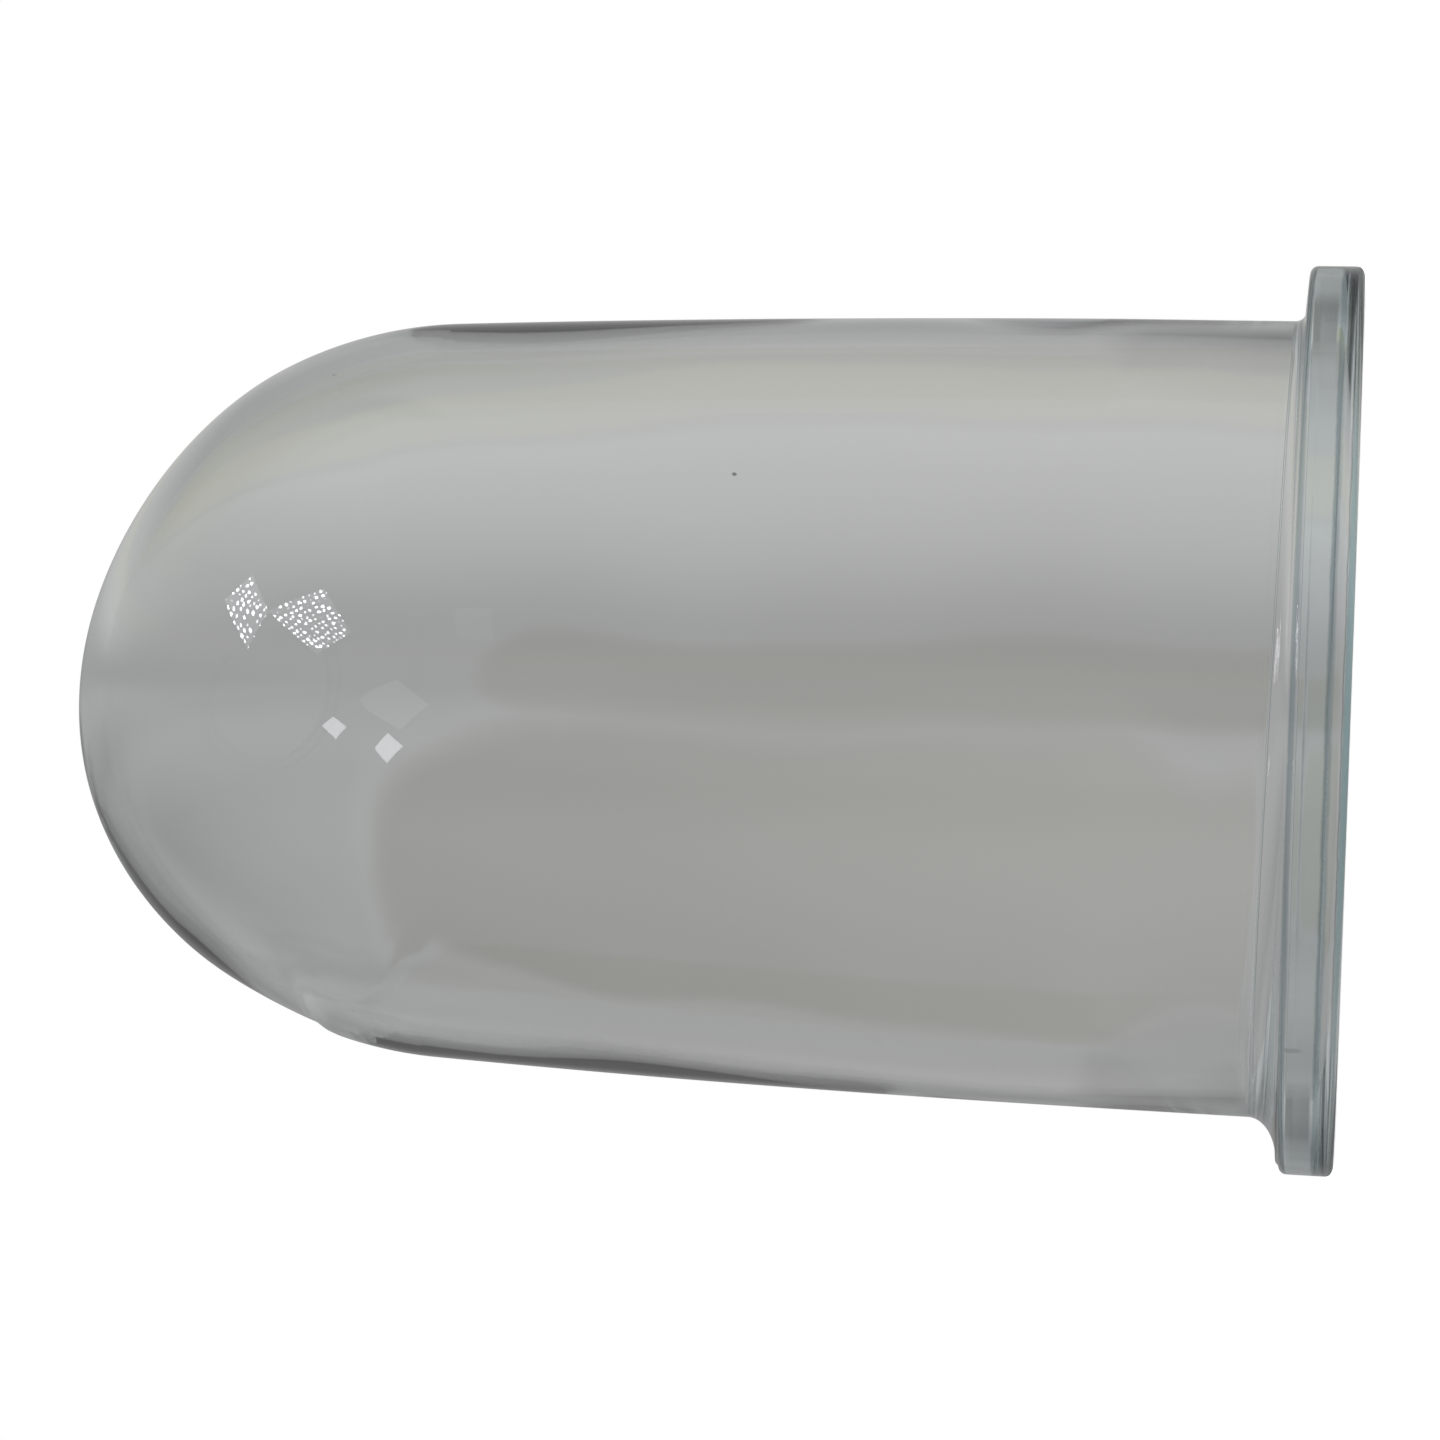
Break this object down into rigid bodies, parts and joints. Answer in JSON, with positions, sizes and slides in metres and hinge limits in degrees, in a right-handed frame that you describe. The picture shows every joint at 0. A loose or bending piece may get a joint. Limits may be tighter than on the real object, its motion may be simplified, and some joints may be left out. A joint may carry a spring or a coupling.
{
  "type": "flanged glass vessel",
  "caption": "Clear blown glass vessel with a domed closed end, a slightly tapered round body and a thick flat flange round its open mouth.",
  "frame": {"origin": "centre of the flange's flat sealing face, which is also the bottom centre of the bounding box", "axes": "+Z along the vessel's axis, from the open mouth towards the domed end"},
  "size_m": [0.15, 0.15, 0.2184],
  "materials": {
    "clear_glass": "clear and fire polished, faintly green at the edges, with a finely ground sealing face"
  },
  "bodies": {
    "root": {"glass_vessel": "clear_glass"}
  },
  "joints": []
}
